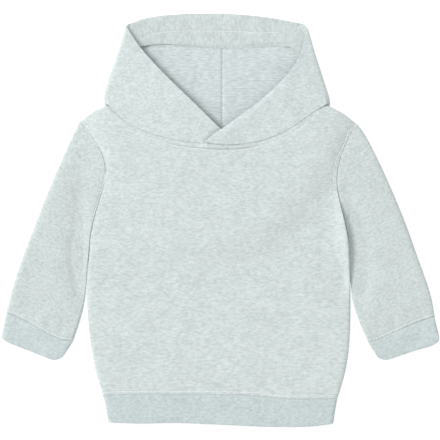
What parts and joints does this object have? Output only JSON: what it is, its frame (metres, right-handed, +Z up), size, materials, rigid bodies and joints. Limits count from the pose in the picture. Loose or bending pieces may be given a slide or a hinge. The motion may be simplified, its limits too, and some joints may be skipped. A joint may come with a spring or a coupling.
{
  "type": "toddler hoodie",
  "caption": "Pullover sweatshirt for a toddler laid flat face up: long set-in sleeves, rib cuffs and waistband, and a crossover hood with a faced rim folded down behind.",
  "frame": {"origin": "under the middle of the garment, on the surface it lies on", "axes": "+X to the viewer's right across the garment, +Y from the hem towards the hood, +Z up from the surface"},
  "size_m": [0.5018, 0.4728, 0.0174],
  "materials": {
    "marl_fleece": "pale grey-green marl sweatshirt fleece, matt",
    "hood_fleece": "pale grey-green marl sweatshirt fleece, matt",
    "rib": "grey-green marl rib knit, matt",
    "cuff_rib": "grey-green marl rib knit, matt",
    "facing": "pale grey-green marl jersey, matt"
  },
  "bodies": {
    "root": {"front": "marl_fleece", "back": "marl_fleece", "sleeve_left": "marl_fleece", "sleeve_right": "marl_fleece", "cuff_left": "cuff_rib", "cuff_right": "cuff_rib", "waist_rib": "rib", "hood_left": "hood_fleece", "hood_right": "hood_fleece", "hood_facing": "facing"}
  },
  "joints": []
}
